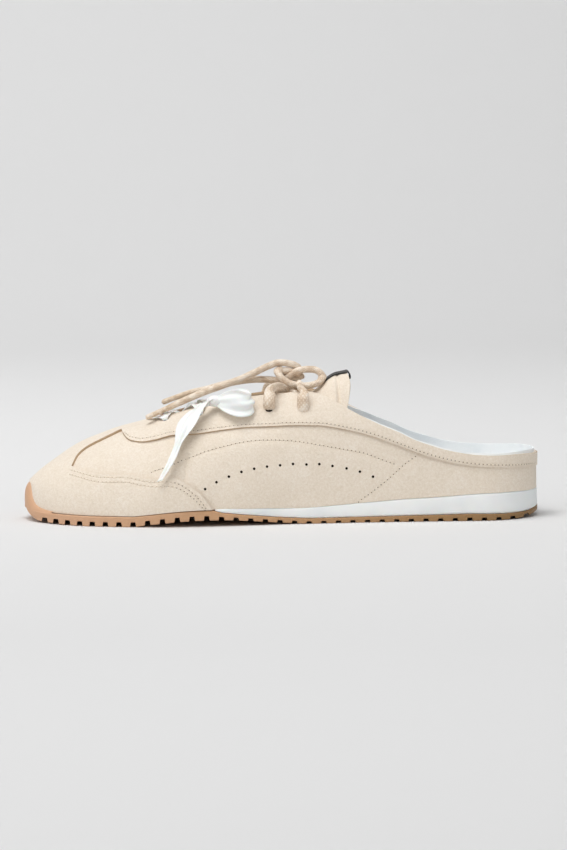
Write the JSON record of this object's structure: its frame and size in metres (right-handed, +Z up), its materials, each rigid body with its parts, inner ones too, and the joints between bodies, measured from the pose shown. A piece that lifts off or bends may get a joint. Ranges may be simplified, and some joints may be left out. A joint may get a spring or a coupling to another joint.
{
  "type": "sneaker mule",
  "caption": "Left low sneaker mule with a hollow suede upper, toe overlay, eyestay band, tied cord and ribbon, white foam wedge and ribbed gum outsole.",
  "frame": {"origin": "centre of the footprint on the floor, without the free ends of the lace and ribbon", "axes": "+X from toe to heel, +Y towards the medial side, +Z up"},
  "size_m": [0.2687, 0.09, 0.0814],
  "materials": {
    "gum_rubber": "satin",
    "white_foam": "matte",
    "lining": "matte",
    "suede": "matte",
    "label": "matte",
    "cord": "matte",
    "satin": "satin"
  },
  "bodies": {
    "root": {"outsole": "gum_rubber", "midsole": "white_foam", "insole": "lining", "upper": "suede", "toe_cap": "suede", "eyestay_band": "suede", "tongue": "suede", "tongue_label": "label", "lace_bars": "cord", "lace_knot": "cord", "lace_riser": "cord", "lace_end_near": "cord", "lace_tip_near": "cord", "lace_end_far": "cord", "lace_tip_far": "cord", "ribbon_bars": "satin", "ribbon_knot": "satin", "ribbon_loop": "satin", "ribbon_tail": "satin"}
  },
  "joints": []
}
